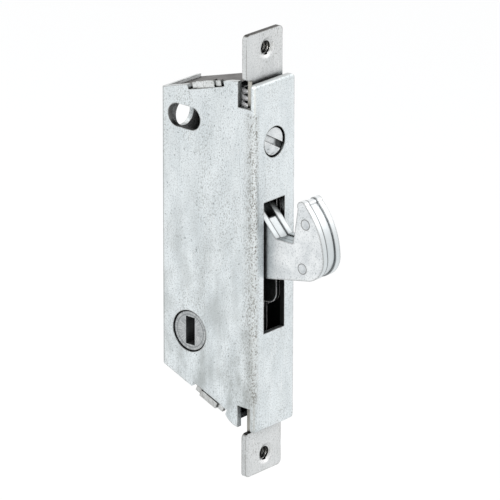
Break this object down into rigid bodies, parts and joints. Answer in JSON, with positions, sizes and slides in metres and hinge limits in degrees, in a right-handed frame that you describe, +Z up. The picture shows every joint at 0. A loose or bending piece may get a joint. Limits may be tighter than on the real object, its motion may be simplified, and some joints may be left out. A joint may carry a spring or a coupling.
{
  "type": "sliding door mortise lock",
  "caption": "Narrow mortise lock for a sliding patio door: folded steel case, swinging hook bolt in a slotted face, keyed hub, and a strap with two drilled ears.",
  "frame": {"origin": "midway between the two ear holes, on the rear faces of the ears", "axes": "+X across the lock, away from the side that carries the clinched tabs; +Y into the door; +Z up, from the hub towards the adjusting screw"},
  "size_m": [0.014, 0.043, 0.1016],
  "materials": {
    "zinc_steel": "zinc plated, satin",
    "hook_steel": "zinc plated, blanked edges",
    "rivet_steel": "bright",
    "screw_steel": "zinc plated, turned",
    "hub_zinc": "die cast, satin",
    "spring_steel": "hard drawn wire"
  },
  "bodies": {
    "strap": {"mounting_strap": "zinc_steel"},
    "case": {"case_body": "zinc_steel", "case_cover": "zinc_steel", "hook_pivot_pin": "rivet_steel", "hook_retaining_clip": "spring_steel", "hook_washer": "rivet_steel", "slide_guide_post": "rivet_steel", "plunger_guide": "zinc_steel", "plunger_guide_rivets": "rivet_steel", "hook_spring": "spring_steel"},
    "adjuster": {"adjusting_screw": "screw_steel", "screw_retainer": "spring_steel"},
    "hook": {"hook_plate_near": "hook_steel", "hook_plate_far": "hook_steel", "hook_core": "hook_steel", "hook_rivets": "rivet_steel", "hook_pivot_spacer": "rivet_steel", "hook_drive_pin": "rivet_steel"},
    "slide": {"drive_slide": "zinc_steel"},
    "hub": {"drive_hub": "hub_zinc", "crank_pin": "rivet_steel"},
    "plunger": {"spring_plunger": "hub_zinc"}
  },
  "joints": [
    {"name": "case_adjust", "type": "slide", "parent": "strap", "child": "case", "axis": [0, -1, 0], "range_m": [-0.00025, 0.0014]},
    {"name": "adjusting_screw_turn", "type": "hinge", "parent": "case", "child": "adjuster", "pos_m": [0, -0.0033, 0.026], "axis": [0, -1, 0], "range_deg": [-116, 636]},
    {"name": "hook_swing", "type": "hinge", "parent": "case", "child": "hook", "pos_m": [0, 0.0038, 0.008], "axis": [1, 0, 0], "range_deg": [0, 90]},
    {"name": "slide_lift", "type": "slide", "parent": "case", "child": "slide", "axis": [0, 0, 1], "range_m": [0, 0.0099], "stiffness_N_per_m": 1130, "springref_m": -0.0026},
    {"name": "hub_turn", "type": "hinge", "parent": "case", "child": "hub", "pos_m": [0, 0.01536, -0.0203], "axis": [1, 0, 0], "range_deg": [-66.8, 0]},
    {"name": "plunger_lift", "type": "slide", "parent": "case", "child": "plunger", "axis": [0, 0, 1], "range_m": [0, 0.0015], "deforming": ["hook_spring"]}
  ],
  "couplings": [
    {"joint": "adjusting_screw_turn", "follows": "case_adjust", "rad_per_m": 7915.9},
    {"joint": "hook_swing", "follows": "slide_lift", "rad_per_m": 158.67},
    {"joint": "hub_turn", "follows": "slide_lift", "rad_per_m": -117.65},
    {"joint": "plunger_lift", "follows": "slide_lift", "ratio": 0.15152}
  ]
}
